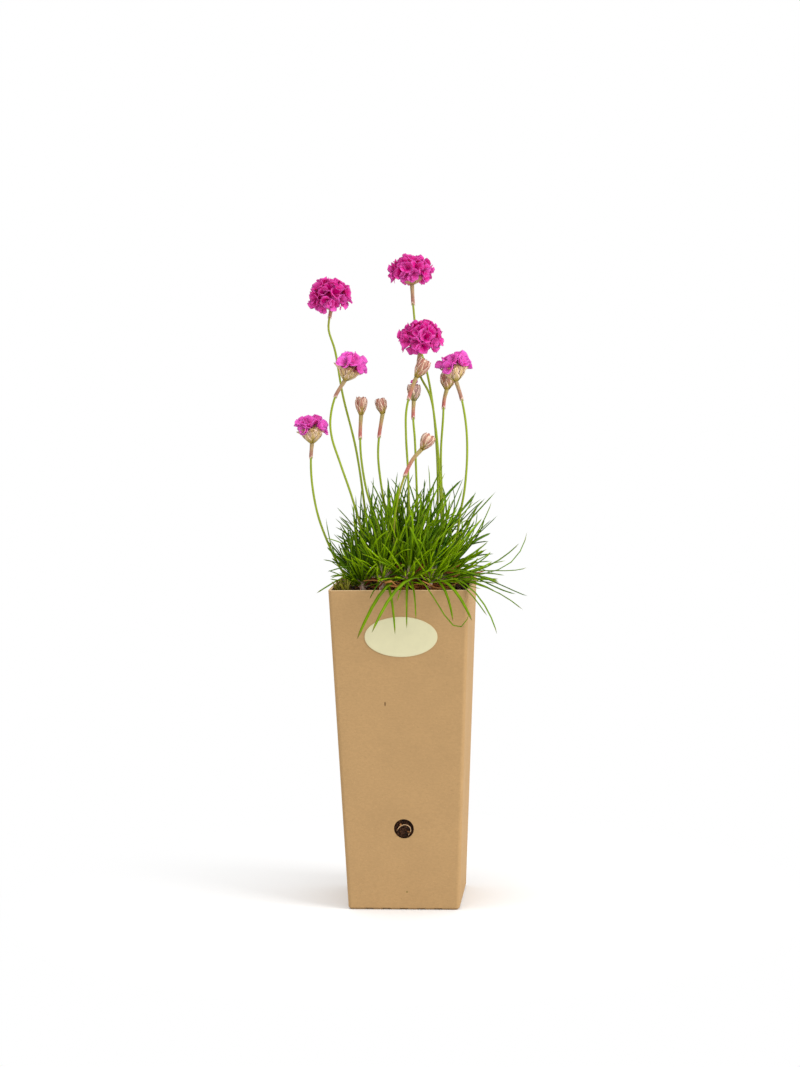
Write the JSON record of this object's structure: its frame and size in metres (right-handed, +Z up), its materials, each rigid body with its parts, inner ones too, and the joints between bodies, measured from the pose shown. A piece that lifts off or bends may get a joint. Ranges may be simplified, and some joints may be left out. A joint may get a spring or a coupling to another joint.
{
  "type": "potted sea thrift",
  "caption": "Sea thrift in flower in a tall tapered carton pot: grassy leaf cushion, thin stalks, round pink heads, papery buds and a bare oval sticker",
  "frame": {"origin": "middle of the flat underside of the pot", "axes": "+Z up along the pot and the stalks, -Y the front with the sticker and the round hole, +X to the right as seen from the front"},
  "size_m": [0.143, 0.1285, 0.4031],
  "materials": {
    "carton": "matt brown kraft board with fine fibres and specks",
    "sticker": "smooth cream paper",
    "soil": "dark crumbly potting soil",
    "leaf": "satin green leaf",
    "stalk": "satin yellow-green stalk",
    "papery": "dry papery brown-pink bracts",
    "petal": "soft magenta petal"
  },
  "bodies": {
    "root": {"carton_pot": "carton", "sticker": "sticker", "soil": "soil", "rosette_01": "leaf", "rosette_02": "leaf", "rosette_03": "leaf", "rosette_04": "leaf", "rosette_05": "leaf", "rosette_06": "leaf", "rosette_07": "leaf", "rosette_08": "leaf", "rosette_09": "leaf", "rosette_10": "leaf", "rosette_11": "leaf", "rosette_12": "leaf", "stalk_tall_left": "stalk", "calyx_tall_left": "papery", "petals_tall_left": "petal", "stalk_tall_mid": "stalk", "calyx_tall_mid": "papery", "petals_tall_mid": "petal", "stalk_full_mid": "stalk", "calyx_full_mid": "papery", "petals_full_mid": "petal", "stalk_half_left": "stalk", "calyx_half_left": "papery", "petals_half_left": "petal", "stalk_low_left": "stalk", "calyx_low_left": "papery", "petals_low_left": "petal", "stalk_half_right": "stalk", "calyx_half_right": "papery", "petals_half_right": "petal", "stalk_bud_left": "stalk", "calyx_bud_left": "papery", "stalk_bud_mid": "stalk", "calyx_bud_mid": "papery", "stalk_bud_tuft": "stalk", "calyx_bud_tuft": "papery", "stalk_bud_purple": "stalk", "calyx_bud_purple": "papery", "petals_bud_purple": "petal", "stalk_bud_right": "stalk", "calyx_bud_right": "papery", "stalk_bud_front": "stalk", "calyx_bud_front": "papery"}
  },
  "joints": []
}
